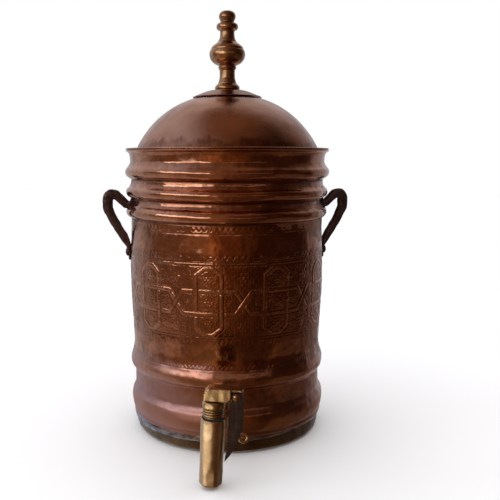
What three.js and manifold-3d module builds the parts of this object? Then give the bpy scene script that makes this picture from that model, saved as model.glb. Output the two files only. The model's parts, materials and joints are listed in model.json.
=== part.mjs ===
// A lidded copper water urn with a brass tap, as an assembly of its real pieces.
// Millimetres, +Z up. Inside this file the vessel's axis is the Z axis and the tap points along -Y;
// the last lines move the whole urn so that its origin is the middle of its footprint.
import * as THREE from "three";
import { mergeVertices } from "three/addons/utils/BufferGeometryUtils.js";
import Module from "manifold-3d";

const wasm = await Module();
wasm.setup();

// ---------- driving dimensions ----------
const SHEET = 1.2; // copper sheet thickness
const GAP = 0.3; // clearance kept between pieces that touch
const ROUND = 32; // facets round the vessel
const SMALL_ROUND = 16; // facets round small turned pieces

const bodyRadius = 101.7; // outside of the wall near the foot
const bellyRadius = 103.6; // outside of the wall under the upper ribs
const neckRadius = 104.9; // outside of the neck between the ribs and the lip
const lipRadius = 109.4;
const seamHeight = 18.5; // where the shell meets the pan
const lipHeight = 303.6;
const panCornerRadius = 6;

// Rolled ribs: middle height, half height, radius at the crest, wall radius below and above.
const ribs = [
  { mid: 33.5, half: 13.5, crest: 105.8, below: 101.3, above: bodyRadius },
  { mid: 81.0, half: 13.0, crest: 105.8, below: bodyRadius, above: bodyRadius },
  { mid: 238.2, half: 8.5, crest: 108.4, below: bellyRadius, above: 102.2 },
  { mid: 259.8, half: 7.5, crest: 108.9, below: 102.2, above: 103.8 },
  { mid: 280.2, half: 8.0, crest: 110.0, below: 103.8, above: neckRadius },
];

const lidBaseHeight = lipHeight + 0.4; // underside of the lid's flange
const lidFlangeRadius = 109.4;
const capRadius = 37; // the plate under the finial
const capHeight = 359.4; // underside of that plate's edge
const finialFoot = 368.2; // where the finial stands on the plate
const studRadius = 3;

const handleWidth = 10; // across the forged bar, in the plane of the ear
const handleDepth = 9; // across the bar, round the vessel
const upperRivetHeight = 249.6;
const upperRivetAngle = THREE.MathUtils.degToRad(5.4); // each side of the ear
const lowerRivetHeight = 194;
const rivetRadius = 2.6;
const rivetHeadRadius = 5.2;

const tapHeight = 57; // axis of the tap's shank
const tapRoll = THREE.MathUtils.degToRad(2.5); // the tap is screwed in a little off upright
const tapReach = 171; // vessel axis to nozzle axis
const shankRadius = 8.2;
const nozzleRadius = 10.65;
const eyeletAngle = THREE.MathUtils.degToRad(12.4); // from the tap, round towards +X
const eyeletHeight = 18.8;

// ---------- materials ----------
const finish = (color, roughness, metalness) => new THREE.MeshStandardMaterial({ color, roughness, metalness });
const copper = finish(0x9a5a3c, 0.32, 1);
const lidCopper = finish(0x8a5a48, 0.45, 1);
const tinned = finish(0x6d6558, 0.5, 1);
const solder = finish(0x8d949b, 0.4, 1);
const brass = finish(0xb0905a, 0.35, 1);
const iron = finish(0x3a2a26, 0.6, 0.8);
const rubber = finish(0x1c1a19, 0.8, 0);

// ---------- helpers ----------
const point = (x, y) => new THREE.Vector2(x, y);
const space = (x, y, z) => new THREE.Vector3(x, y, z);

// A turned piece about Z from (radius, height) points; a hollow section closes on itself.
function turned(profile, facets = SMALL_ROUND) {
  const points = profile.map(([radius, height]) => point(radius, height));
  const onAxis = points[0].x === 0 && points.at(-1).x === 0;
  if (THREE.ShapeUtils.area(points) < 0) points.reverse();
  if (!onAxis) points.push(points[0].clone());
  return new THREE.LatheGeometry(points, facets).rotateX(Math.PI / 2);
}

function cylinder(radius, length, facets = SMALL_ROUND) {
  return new THREE.CylinderGeometry(radius, radius, length, facets).rotateX(Math.PI / 2);
}

function box(width, depth, height) {
  return new THREE.BoxGeometry(width, depth, height);
}

function outline(points) {
  return new THREE.Shape(points.map(([x, y]) => point(x, y)));
}

// The corner points of a path, without the repeated ones where its curves meet.
function corners(path) {
  return path.getPoints(8).filter((corner, index, all) => corner.distanceTo(all.at(index - 1)) > 0.01);
}

function extruded(shape, depth) {
  const edge = corners(shape);
  if (THREE.ShapeUtils.isClockWise(edge)) edge.reverse();
  const clean = new THREE.Shape(edge);
  clean.holes = shape.holes.map((hole) => new THREE.Path(corners(hole)));
  return new THREE.ExtrudeGeometry(clean, { depth, bevelEnabled: false });
}

function solid(geometry) {
  const bare = geometry.clone();
  bare.deleteAttribute("normal");
  bare.deleteAttribute("uv");
  const merged = mergeVertices(bare, 1e-4);
  const vertProperties = merged.attributes.position.array;
  const triVerts = new Uint32Array(merged.index.array);
  return new wasm.Manifold(new wasm.Mesh({ numProp: 3, vertProperties, triVerts }));
}

function geometryOf(manifold) {
  const { vertProperties, triVerts } = manifold.getMesh();
  const geometry = new THREE.BufferGeometry();
  geometry.setAttribute("position", new THREE.BufferAttribute(new Float32Array(vertProperties), 3));
  geometry.setIndex(new THREE.BufferAttribute(new Uint32Array(triVerts), 1));
  const flat = geometry.toNonIndexed();
  flat.computeVertexNormals();
  return flat;
}

function join(...geometries) {
  return geometryOf(geometries.map(solid).reduce((whole, piece) => whole.add(piece)));
}

function cut(geometry, ...tools) {
  return geometryOf(tools.map(solid).reduce((left, tool) => left.subtract(tool), solid(geometry)));
}

function common(a, b) {
  return geometryOf(solid(a).intersect(solid(b)));
}

function add(parent, name, geometry, material) {
  const mesh = new THREE.Mesh(geometry, material);
  mesh.name = name;
  parent.add(mesh);
  return mesh;
}

// Points of one rib on the wall, from its lower foot to its upper foot, as a raised cosine.
function ribPoints(rib) {
  return [-1, -0.5, 0, 0.5, 1].map((t) => {
    const wall = t < 0 ? rib.below : rib.above;
    const lift = (1 + Math.cos(Math.PI * t)) / 2;
    return [wall + (rib.crest - wall) * lift, rib.mid + t * rib.half];
  });
}

// Outside of the sheet from the seam to the lip. The barrel swells a little between the two sets of ribs.
function wallProfile() {
  const points = ribs.map(ribPoints);
  return [
    [101.0, seamHeight + GAP],
    ...points.slice(0, 2).flat(),
    [102.3, 125],
    [103.2, 150],
    [bellyRadius, lowerRivetHeight],
    ...points.slice(2).flat(),
    [neckRadius, 296],
    [neckRadius + 1.2, 300],
    [lipRadius, lipHeight],
  ];
}

function inset(profile, distance) {
  return profile.map(([radius, height]) => [radius - distance, height]);
}

// A solid plug of the vessel's outside grown by a clearance, to shape what is seated on the wall.
function wallEnvelope(clearance) {
  const grown = inset(wallProfile(), -clearance);
  return turned([[0, grown[0][1]], ...grown, [0, grown.at(-1)[1]]], ROUND);
}

// ---------- vessel ----------
function bodyShell() {
  const outside = wallProfile();
  const sheet = turned([...outside, ...inset(outside, SHEET).reverse()], ROUND);
  const tapHole = cylinder(shankRadius + GAP + 0.1, 30).rotateX(Math.PI / 2).translate(0, -100, tapHeight);
  const holes = [tapHole];
  for (const turn of Object.values(earTurns)) {
    holes.push(...rivetHoles().map((hole) => hole.rotateZ(turn)));
  }
  return cut(sheet, ...holes);
}

function basePan() {
  const wall = 100.4; // outside of the pan's short wall
  const lap = 99.4; // outside of the lap inside the shell
  const corner = [];
  for (let step = 0; step <= 3; step++) {
    const angle = (step / 3) * (Math.PI / 2);
    corner.push([wall - panCornerRadius * (1 - Math.sin(angle)), panCornerRadius * (1 - Math.cos(angle))]);
  }
  const outside = [...corner, [wall, seamHeight - GAP], [lap, seamHeight - GAP], [lap, seamHeight + 8]];
  const inside = [[lap - SHEET, seamHeight + 8], [lap - SHEET, panCornerRadius], [92, SHEET]];
  return turned([[0, 0], ...outside, ...inside, [0, SHEET]], ROUND);
}

function baseSolder() {
  const inner = 101.6;
  const bead = [[inner, 16.2], [102.4, 17.2], [102.8, seamHeight], [102.4, 19.8], [inner, 20.6]];
  return turned(bead, ROUND);
}

// ---------- lid ----------
// The dome's outside, one arc from the flange to under the cap plate, whose centre is a little off the axis.
const domeArc = { radius: 99.6, centreRadius: 7.56, centreHeight: 263 };
function domeProfile() {
  const points = [];
  const steps = 7;
  const { radius, centreRadius, centreHeight } = domeArc;
  const footAngle = Math.asin((lidBaseHeight + SHEET - centreHeight) / radius);
  const topAngle = Math.acos((capRadius - 1 - centreRadius) / radius);
  for (let step = 0; step <= steps; step++) {
    const angle = footAngle + ((topAngle - footAngle) * step) / steps;
    points.push([centreRadius + radius * Math.cos(angle), centreHeight + radius * Math.sin(angle)]);
  }
  return points;
}

function lidDome() {
  const dome = domeProfile();
  const crown = [8, 366.2]; // the dome runs on under the plate up to the stud's hole
  const outside = [[lidFlangeRadius, lidBaseHeight], [lidFlangeRadius, lidBaseHeight + SHEET], ...dome, crown];
  const under = dome.map(([radius, height]) => [radius - SHEET, height - SHEET]).slice(1).reverse();
  const foot = [dome[0][0] - SHEET, lidBaseHeight];
  const inside = [[studRadius + GAP, 365.4], [8, 364.9], ...under, foot];
  return turned([...outside, [studRadius + GAP, 366.6], ...inside], ROUND);
}

function lidSkirt() {
  const outside = 101.6;
  const top = lidBaseHeight - GAP;
  return turned([[outside - SHEET, 286], [outside, 286], [outside, top], [outside - SHEET, top]], ROUND);
}

function lidCap() {
  const edge = [[capRadius, capHeight + 0.3], [capRadius, capHeight + 1.3]];
  const top = [[33, 361.8], [24, 364.4], [14, finialFoot - GAP], [studRadius + GAP, finialFoot - GAP]];
  const under = [[studRadius + GAP, 366.9], [8, 366.7]];
  return turned([...edge, ...top, ...under], ROUND);
}

function finial() {
  const outside = [
    [13.4, finialFoot], [13.4, 371.6], [10.6, 374], [9.4, 375.4], [8.3, 379], [8.2, 388.5], [9.6, 391.4],
    [10.6, 394], [15.4, 396.8], [18.4, 400.4], [19.2, 404.6], [18.8, 408], [17, 411.6], [12.6, 415.8],
    [9, 419.4], [7.8, 424], [7.7, 429.4], [11.2, 431.2], [11.6, 434], [11, 436.4], [7.2, 438.6],
    [8.6, 441], [8.9, 444], [7.4, 447.8], [4.2, 449.8],
  ];
  const socket = [[0, finialFoot + 20], [studRadius + GAP, finialFoot + 20], [studRadius + GAP, finialFoot]];
  return turned([...socket, ...outside, [0, 450.2]]);
}

function finialHardware(lid) {
  const studTop = finialFoot + 19.4;
  const studFoot = 352;
  const stud = turned([[0, studFoot], [studRadius, studFoot], [studRadius, studTop], [0, studTop]], 12);
  add(lid, "finial_stud", stud, brass);
  const hole = studRadius + GAP;
  const washer = turned([[hole, 363.2], [9, 363.2], [9, 364.6], [hole, 364.6]]);
  add(lid, "finial_washer", washer, brass);
  add(lid, "finial_nut", hexNut(hole, 6.5, 5).translate(0, 0, 357.8), brass);
}

function hexNut(bore, acrossFlatsHalf, thickness) {
  const corner = acrossFlatsHalf / Math.cos(Math.PI / 6);
  const points = [];
  for (let side = 0; side < 6; side++) {
    const angle = (side * Math.PI) / 3;
    points.push([corner * Math.cos(angle), corner * Math.sin(angle)]);
  }
  const shape = outline(points);
  shape.holes.push(new THREE.Path().absarc(0, 0, bore, 0, 2 * Math.PI, true));
  return extruded(shape, thickness);
}

// ---------- handles ----------
// The ears face each other, but not quite square to the tap: both sit a little further round.
const earTurns = { right: (11 * Math.PI) / 180, left: (191 * Math.PI) / 180 };

// Where each handle is riveted: two rivets beside the upper root, one through the tail.
const rivets = [
  { place: "front", angle: -upperRivetAngle, height: upperRivetHeight, headFace: 105.9, wallInside: 101 },
  { place: "back", angle: upperRivetAngle, height: upperRivetHeight, headFace: 105.9, wallInside: 101 },
  { place: "tail", angle: 0, height: lowerRivetHeight, headFace: 108.3, wallInside: bellyRadius - SHEET },
];

function rivetHoles() {
  return rivets.map(({ angle, height }) =>
    cylinder(rivetRadius + GAP + 0.1, 24, 10).rotateY(Math.PI / 2).translate(104, 0, height).rotateZ(angle),
  );
}

// An ear standing out along +X, before it is turned to its own side.
function handle() {
  const route = [
    [105, 249.8], [111.5, 252.6], [118, 257.2], [124.6, 258], [129.6, 252.6], [129.4, 243.6],
    [125.4, 232.4], [118.8, 220.6], [112.2, 210.6], [107.8, 203.4],
  ];
  const path = new THREE.CatmullRomCurve3(route.map(([radius, height]) => space(radius, 0, height)));
  const section = new THREE.Shape().absellipse(0, 0, handleDepth / 2, handleWidth / 2, 0, 2 * Math.PI, false);
  const bar = new THREE.ExtrudeGeometry(section, { steps: 18, extrudePath: path, curveSegments: 4 });
  const band = turned([[101, 244.2], [105.4, 244.2], [105.4, 255], [101, 255]], ROUND);
  const root = common(band, box(20, 32, 14).translate(104, 0, upperRivetHeight));
  const tail = box(3.8, 13, 24).translate(106, 0, lowerRivetHeight);
  return cut(join(bar, root, tail), wallEnvelope(GAP), ...rivetHoles());
}

// A rivet along +X: domed head outside, shank through handle and wall, clenched end inside.
function rivet(headFace, wallInside) {
  const shankEnd = wallInside - 3.4;
  const dome = [[rivetHeadRadius, 0.2], [rivetHeadRadius * 0.8, 1.8], [rivetHeadRadius * 0.45, 2.7]];
  const head = [[rivetHeadRadius, 0], ...dome].map(([radius, height]) => [radius, headFace + height]);
  const clench = [[0, shankEnd - 1.6], [3.4, shankEnd - 1.2], [4, shankEnd], [rivetRadius, shankEnd]];
  return turned([...clench, [rivetRadius, headFace], ...head, [0, headFace + 3]], 10).rotateY(Math.PI / 2);
}

function rove(wallInside) {
  const face = wallInside - 0.8;
  const bore = rivetRadius + GAP;
  const ring = [[bore, face - 2.2], [5, face - 2.2], [5, face], [bore, face]];
  return turned(ring, 10).rotateY(Math.PI / 2);
}

function handles(vessel) {
  for (const [side, turn] of Object.entries(earTurns)) {
    add(vessel, `handle_${side}`, handle().rotateZ(turn), iron);
    for (const { place, angle, height, headFace, wallInside } of rivets) {
      const pin = rivet(headFace, wallInside).translate(0, 0, height);
      add(vessel, `rivet_${side}_${place}`, pin.rotateZ(turn + angle), iron);
      const washer = rove(wallInside).translate(0, 0, height);
      add(vessel, `rove_${side}_${place}`, washer.rotateZ(turn + angle), copper);
    }
  }
}

// ---------- tap ----------
// Every height below is measured from the shank's axis, and every piece stands on the nozzle's axis.
const nozzleFoot = -54;
const barrelTop = 8.5;
const chamberRadius = 7.4;
const chamberFloor = -12;
const wallFace = -bodyRadius; // where the tap meets the vessel
const flangeBack = wallFace - 2.9;

function alongTap(radius, from, to, facets = SMALL_ROUND) {
  return cylinder(radius, Math.abs(to - from), facets).rotateX(Math.PI / 2).translate(0, (from + to) / 2, 0);
}

function tapBody() {
  const outer = turned([
    [0, nozzleFoot], [9, nozzleFoot], [9.9, nozzleFoot + 2], [10.3, -20], [nozzleRadius, barrelTop], [0, barrelTop],
  ]).translate(0, -tapReach, 0);
  const shank = alongTap(shankRadius, -88, flangeBack);
  const arm = turned([
    [0, 0], [11.4, 0], [11.4, 3], [8.6, 4.6], [8.2, 9], [9.6, 10.2], [9.6, 13], [8, 14.4], [6.9, 30],
    [6.9, tapReach + flangeBack], [0, tapReach + flangeBack],
  ]).rotateX(Math.PI / 2).translate(0, flangeBack, 0);
  const stop = box(4, 3.4, 12).translate(12.2, -tapReach + 3.6, 2.6);
  const bore = cylinder(6, 60, 16).translate(0, -tapReach, nozzleFoot + 20);
  const chamber = cylinder(chamberRadius, 30, 16).translate(0, -tapReach, chamberFloor + 15);
  const inlet = alongTap(4.6, -80, -tapReach, 12);
  return cut(join(outer, shank, arm, stop), bore, chamber, inlet);
}

function tapGasket() {
  const disc = alongTap(11.4, flangeBack + GAP, wallFace + 6);
  return cut(disc, alongTap(shankRadius + GAP, -120, -80), wallEnvelope(GAP).translate(0, 0, -tapHeight));
}

function innerGasket() {
  const ring = cut(alongTap(12, -96, -104), alongTap(shankRadius + GAP, -120, -80));
  const inside = cylinder(bodyRadius - SHEET - 0.8, 60, ROUND);
  return common(ring, inside);
}

function tapLockNut() {
  return hexNut(shankRadius + GAP, 12, 5.5).rotateX(Math.PI / 2).translate(0, -90.2, 0);
}

// The plug turns in the barrel. Its port faces -X while the tap is shut.
function tapPlug() {
  const spindleRadius = 3.2;
  const plug = turned([
    [0, chamberFloor + GAP], [7.1, chamberFloor + GAP], [7.1, 6.2], [spindleRadius, 6.2],
    [spindleRadius, 35.2], [0, 35.2],
  ], 16);
  const well = cylinder(4.2, 30, 12).translate(0, 0, -11);
  const port = cylinder(3.6, 10, 12).rotateY(Math.PI / 2).translate(-5, 0, 0);
  return cut(plug, well, port).translate(0, -tapReach, 0);
}

function tapBonnet() {
  const bore = 3.6;
  const outside = [
    [7.1, 6.6], [7.1, 10.2], [9.2, 10.2], [8.5, 12], [9.2, 13.8], [8.5, 15.6], [9.2, 17.4],
    [10.2, 18.8], [10.6, 21.4], [9.8, 24.4], [bore, 24.4],
  ];
  return turned([[bore, 6.6], ...outside]).translate(0, -tapReach, 0);
}

function bonnetSeal() {
  return turned([[7.4, 8.8], [8.9, 8.8], [8.9, 9.9], [7.4, 9.9]]).translate(0, -tapReach, 0);
}

// The block that the spindle carries, with a stepped lug on its right for the lever.
const headBack = -164;
const headFront = -178.4;
const lugFace = -174;
const leverX = 19.9; // the lever's screw
const leverZ = 30.3;
function tapHead() {
  const front = outline([
    [-8.8, 25.6], [-8.8, 33], [-4.4, 37.4], [15.6, 37.4], [15.6, 28], [12.4, 25.2], [-7.6, 25.2],
  ]);
  const block = extruded(front, headBack - headFront).rotateX(Math.PI / 2).translate(0, headBack, 0);
  const lugWidth = 11.4;
  const lug = box(lugWidth, headBack - lugFace, 11.4).translate(14.6 + lugWidth / 2, (headBack + lugFace) / 2, 31);
  const brow = box(9.6, 5, 2.6).translate(20.4, lugFace - 1, 35.9);
  const spindleHole = cylinder(3.5, 13, 16).translate(0, -tapReach, 29.2);
  const screwHole = cylinder(2.2, 12, 12).rotateX(Math.PI / 2).translate(leverX, lugFace, leverZ);
  return cut(join(block, lug, brow), spindleHole, screwHole);
}

function tapLever() {
  const shape = new THREE.Shape();
  shape.moveTo(16.2, 34);
  shape.lineTo(24.6, 34);
  shape.quadraticCurveTo(26.4, 32, 26.6, 24);
  shape.lineTo(27.4, 1);
  shape.bezierCurveTo(27.6, -9, 22, -20, 11.7, -29.4);
  shape.bezierCurveTo(11.4, -24, 14.6, -18, 14.1, -12);
  shape.bezierCurveTo(13.2, -4, 14.2, 8, 14.6, 18);
  shape.lineTo(14.8, 24.4);
  shape.lineTo(16.2, 26);
  shape.holes.push(new THREE.Path().absarc(leverX, leverZ, 2.2, 0, 2 * Math.PI, true));
  const thickness = 2.4;
  return extruded(shape, thickness).rotateX(Math.PI / 2).translate(0, lugFace - GAP, 0);
}

function leverFixing(handleGroup) {
  const washerBack = lugFace - GAP - 2.4 - GAP;
  const washer = turned([[2.2, 0], [3.7, 0], [3.7, 0.7], [2.2, 0.7]], 16).rotateX(Math.PI / 2);
  add(handleGroup, "lever_washer", washer.translate(leverX, washerBack, leverZ), iron);
  const underHead = 0.7 + GAP;
  const screw = turned([
    [0, -9], [1.9, -9], [1.9, underHead], [3.3, underHead], [3.1, underHead + 1], [1.9, underHead + 1.9],
    [0, underHead + 2.3],
  ], 16).rotateX(Math.PI / 2);
  add(handleGroup, "lever_screw", screw.translate(leverX, washerBack, leverZ), brass);
}

function tap() {
  const group = new THREE.Group();
  group.position.set(0, 0, tapHeight);
  group.rotation.y = tapRoll;
  add(group, "tap_body", tapBody(), brass);
  add(group, "tap_bonnet", tapBonnet(), brass);
  add(group, "bonnet_seal", bonnetSeal(), rubber);
  add(group, "tap_plug", tapPlug(), brass);
  add(group, "tap_head", tapHead(), brass);
  add(group, "tap_lever", tapLever(), iron);
  leverFixing(group);
  return group;
}

function tapSeals(vessel) {
  for (const [name, geometry, material] of [
    ["tap_gasket", tapGasket(), rubber],
    ["tap_inner_gasket", innerGasket(), rubber],
    ["tap_lock_nut", tapLockNut(), brass],
  ]) {
    add(vessel, name, geometry.translate(0, 0, tapHeight), material);
  }
}

function footEyelet(vessel) {
  const face = 103.2;
  const ring = [[2.6, 0.6], [3.2, 0], [5.4, 0], [6, 0.8], [5.4, 2], [4.2, 2.4], [3, 1.8]];
  const eyelet = turned(ring, 16).rotateX(Math.PI / 2).translate(0, -face, eyeletHeight);
  add(vessel, "foot_eyelet", eyelet.rotateZ(eyeletAngle), brass);
}

// ---------- assembly ----------
const vessel = new THREE.Group();
add(vessel, "body_shell", bodyShell(), copper);
add(vessel, "base_pan", basePan(), tinned);
add(vessel, "base_solder", baseSolder(), solder);
footEyelet(vessel);
handles(vessel);
tapSeals(vessel);
vessel.add(tap());

const lid = new THREE.Group();
add(lid, "lid_dome", lidDome(), lidCopper);
add(lid, "lid_skirt", lidSkirt(), lidCopper);
add(lid, "lid_cap", lidCap(), lidCopper);
add(lid, "finial", finial(), brass);
finialHardware(lid);
vessel.add(lid);

// The origin is the middle of the footprint, on the surface that the urn stands on.
const extent = new THREE.Box3().setFromObject(vessel);
const middle = extent.getCenter(new THREE.Vector3());
vessel.position.set(-middle.x, -middle.y, -extent.min.z);

const group = new THREE.Group();
group.add(vessel);
export default group;
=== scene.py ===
"""Looks for the copper water urn: hammered and chased copper, turned brass, forged iron.

Lengths in this script are in millimetres until a mesh is made; the scene itself is in metres.
Angles round the vessel are in degrees: 0 faces -Y, where the tap is, and +90 faces +X.
"""
import json
import math

import bpy
import numpy as np
from mathutils import Matrix, Quaternion, Vector


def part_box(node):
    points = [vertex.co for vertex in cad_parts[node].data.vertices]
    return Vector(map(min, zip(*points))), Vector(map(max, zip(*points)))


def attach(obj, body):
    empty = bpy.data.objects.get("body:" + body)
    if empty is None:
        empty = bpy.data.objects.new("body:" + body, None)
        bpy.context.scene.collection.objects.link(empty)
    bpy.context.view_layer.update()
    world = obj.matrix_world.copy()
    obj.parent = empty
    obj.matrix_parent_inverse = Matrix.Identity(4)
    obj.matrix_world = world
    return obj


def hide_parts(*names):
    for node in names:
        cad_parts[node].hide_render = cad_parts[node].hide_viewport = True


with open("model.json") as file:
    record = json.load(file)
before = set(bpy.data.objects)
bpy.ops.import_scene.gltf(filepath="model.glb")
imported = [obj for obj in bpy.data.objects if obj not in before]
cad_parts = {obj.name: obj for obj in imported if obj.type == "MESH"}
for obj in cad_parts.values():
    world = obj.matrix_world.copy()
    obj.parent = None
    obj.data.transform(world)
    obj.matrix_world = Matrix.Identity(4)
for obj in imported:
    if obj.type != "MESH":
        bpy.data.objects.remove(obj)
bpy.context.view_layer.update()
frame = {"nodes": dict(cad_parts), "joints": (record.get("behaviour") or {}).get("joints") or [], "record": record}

MM = 0.001
PAN_LOW, PAN_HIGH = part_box("base_pan")
AXIS_X = (PAN_LOW.x + PAN_HIGH.x) / 2 / MM
AXIS_Y = (PAN_LOW.y + PAN_HIGH.y) / 2 / MM


# --- meshes ---
def ease(low, high, value):
    """0 below low, 1 above high and a smooth change between; falling when low is above high."""
    t = np.clip((value - low) / (high - low), 0, 1)
    return t * t * (3 - 2 * t)


def curve_through(knots, x):
    """A smooth curve through (x, y) knots that never overshoots them."""
    kx, ky = np.array(sorted(knots), float).T
    step = np.diff(kx)
    slope = np.diff(ky) / step
    tangent = np.zeros(len(kx))
    tangent[0], tangent[-1] = slope[0], slope[-1]
    same = slope[:-1] * slope[1:] > 0
    total = slope[:-1] + slope[1:]
    tangent[1:-1][same] = 2 * (slope[:-1] * slope[1:])[same] / total[same]
    i = np.clip(np.searchsorted(kx, x) - 1, 0, len(step) - 1)
    t = (np.clip(x, kx[0], kx[-1]) - kx[i]) / step[i]
    rise = (3 * t**2 - 2 * t**3) * (ky[i + 1] - ky[i])
    bend = step[i] * (t * (1 - t) ** 2 * tangent[i] - t**2 * (1 - t) * tangent[i + 1])
    return ky[i] + rise + bend


def in_scene(name, data):
    made = bpy.data.objects.new(name, data)
    bpy.context.scene.collection.objects.link(made)
    return made


def mesh_object(name, vertices, faces, values=None):
    """A smooth shaded object from vertices in millimetres and faces of one size each."""
    counts = np.concatenate([np.full(len(f), f.shape[1]) for f in faces])
    corners = np.concatenate([f.ravel() for f in faces]).astype(np.int32)
    starts = np.concatenate([[0], np.cumsum(counts)[:-1]]).astype(np.int32)
    mesh = bpy.data.meshes.new(name)
    mesh.vertices.add(len(vertices))
    mesh.vertices.foreach_set("co", (np.asarray(vertices) * MM).astype(np.float32).ravel())
    mesh.loops.add(len(corners))
    mesh.loops.foreach_set("vertex_index", corners)
    mesh.polygons.add(len(counts))
    mesh.polygons.foreach_set("loop_start", starts)
    mesh.update(calc_edges=True)
    mesh.polygons.foreach_set("use_smooth", np.ones(len(counts), bool))
    for key, data in (values or {}).items():
        layer = mesh.attributes.new(key, "FLOAT", "POINT")
        layer.data.foreach_set("value", np.asarray(data, np.float32).ravel())
    return in_scene(name, mesh)


def all_round(count):
    return np.linspace(0, 2 * np.pi, count, endpoint=False)


def turned(radius, angle, height):
    """Points at each radius, angle about the Z axis and height, as one grid."""
    return np.stack(np.broadcast_arrays(radius * np.sin(angle), -radius * np.cos(angle), height), -1)


def grid_faces(rows, columns, closed):
    index = np.arange(rows * columns).reshape(rows, columns)
    below = index if closed else index[:-1]
    above = np.roll(index, -1, 0) if closed else index[1:]
    quads = [below, np.roll(below, -1, 1), np.roll(above, -1, 1), above]
    return np.stack(quads, -1).reshape(-1, 4)


def outward(points, faces):
    """The same faces, turned over if they enclose a negative volume."""
    volume = 0
    for f in faces:
        a = points[f[:, 0]]
        for k in range(1, f.shape[1] - 1):
            volume += np.einsum("ij,ij->i", a, np.cross(points[f[:, k]], points[f[:, k + 1]])).sum()
    return [f[:, ::-1] for f in faces] if volume < 0 else faces


def grid_shell(points, closed=True):
    """Vertices and faces of a grid (rows, columns, 3) closed round its columns; open ends get a fan."""
    rows, columns = points.shape[:2]
    vertices = points.reshape(-1, 3)
    faces = [grid_faces(rows, columns, closed)]
    if not closed:
        ends = np.stack([points[0].mean(0), points[-1].mean(0)])
        first, last = rows * columns, rows * columns + 1
        vertices = np.concatenate([vertices, ends])
        ring = np.arange(columns)
        turn = np.roll(ring, -1)
        far = (rows - 1) * columns
        low = np.stack([np.full(columns, first), turn, ring], -1)
        high = np.stack([np.full(columns, last), far + ring, far + turn], -1)
        faces.append(np.concatenate([low, high]))
    return vertices, outward(vertices, faces)


def revolved(section, columns, closed=True, wobble=0.0, seed=0):
    """A shell turned about Z from (radius, height) points, with a slight hand-made wobble in its radius."""
    section = np.asarray(section, float)
    angle = all_round(columns)
    radius = section[:, :1]
    if wobble:
        draw = np.random.default_rng(seed)
        for wave in range(2, 6):
            radius = radius + wobble / wave * np.sin(wave * angle + draw.uniform(0, 6))
        radius = np.where(section[:, :1] > 0.01, radius, section[:, :1])
    return grid_shell(turned(radius, angle, section[:, 1:]), closed)


def joined(*shells):
    """Several closed shells as one list of vertices and faces."""
    vertices, faces, offset = [], [], 0
    for points, lists in shells:
        vertices.append(points)
        faces += [f + offset for f in lists]
        offset += len(points)
    return np.concatenate(vertices), faces


def moved(shell, *matrices):
    """A shell moved by each 4 x 4 matrix in turn, in millimetres."""
    points, faces = shell
    for m in map(np.array, matrices):
        points = points @ m[:3, :3].T + m[:3, 3]
    return points, faces


def rounded(section, radius=0.6, steps=4, closed=True):
    """The same section with each corner rounded off by a small arc."""
    points = np.asarray(section, float)
    out = []
    for i, corner in enumerate(points):
        if not closed and i in (0, len(points) - 1):
            out.append(corner)
            continue
        before, after = points[i - 1], points[(i + 1) % len(points)]
        a, b = before - corner, after - corner
        la, lb = np.linalg.norm(a), np.linalg.norm(b)
        reach = min(radius, 0.45 * la, 0.45 * lb)
        p, q = corner + a / la * reach, corner + b / lb * reach
        for t in np.linspace(0, 1, steps):
            out.append((1 - t) ** 2 * p + 2 * t * (1 - t) * corner + t**2 * q)
    return np.array(out)


def dense(section, spacing):
    """A section with points added so that no side is longer than the spacing."""
    out = []
    points = np.asarray(section, float)
    for a, b in zip(points[:-1], points[1:]):
        count = max(1, int(np.ceil(np.linalg.norm(b - a) / spacing)))
        out.append(a + (b - a) * np.arange(count)[:, None] / count)
    return np.concatenate(out + [points[-1:]])


def at_axis(height=0.0, turn=0.0):
    """Placed on the vessel's axis and turned about it by an angle in degrees."""
    return Matrix.Translation((AXIS_X, AXIS_Y, height)) @ Matrix.Rotation(math.radians(turn), 4, "Z")


def piece(name, shell, body, material, nodes, values=None):
    """A visual piece that rides on a body and stands for CAD nodes."""
    made = mesh_object(name, *shell, values)
    made.data.materials.append(material)
    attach(made, body)
    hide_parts(*nodes)
    return made


def fused(made, voxel, relax=2):
    """Melts the crossing shells of a piece into one skin, as a casting or a forge weld has."""
    remesh = made.modifiers.new("fuse", "REMESH")
    remesh.mode = "VOXEL"
    remesh.voxel_size = voxel * MM
    remesh.use_smooth_shade = True
    soften = made.modifiers.new("soften", "SMOOTH")
    soften.factor = 0.5
    soften.iterations = relax
    graph = bpy.context.evaluated_depsgraph_get()
    mesh = bpy.data.meshes.new_from_object(made.evaluated_get(graph))
    made.modifiers.clear()
    made.data = mesh
    return made


# --- noise laid round the vessel ---
COLUMNS = 1000
NOISE_ROWS = 640
NOISE_HEIGHT = 320.0
GIRTH = 650.0


def soft_noise(seed, size):
    """Smooth noise on a sheet wrapped round the vessel, in lumps of about that size, from about -1 to 1."""
    draw = np.random.default_rng(seed).standard_normal((NOISE_ROWS, COLUMNS))
    fy = np.fft.fftfreq(NOISE_ROWS, NOISE_HEIGHT / NOISE_ROWS)[:, None]
    fx = np.fft.fftfreq(COLUMNS, GIRTH / COLUMNS)[None]
    spread = np.exp(-((fx**2 + fy**2) * (size * 1.2) ** 2))
    field = np.fft.ifft2(np.fft.fft2(draw) * spread).real
    return field / field.std() / 2


def wall_noise(seed, size, height):
    """The noise at the height of each row of a grid."""
    field = soft_noise(seed, size)
    row = np.clip(height / NOISE_HEIGHT * NOISE_ROWS, 0, NOISE_ROWS - 1.001)
    low = row.astype(int)
    share = row - low
    return field[low] * (1 - share)[:, None] + field[low + 1] * share[:, None]


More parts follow.
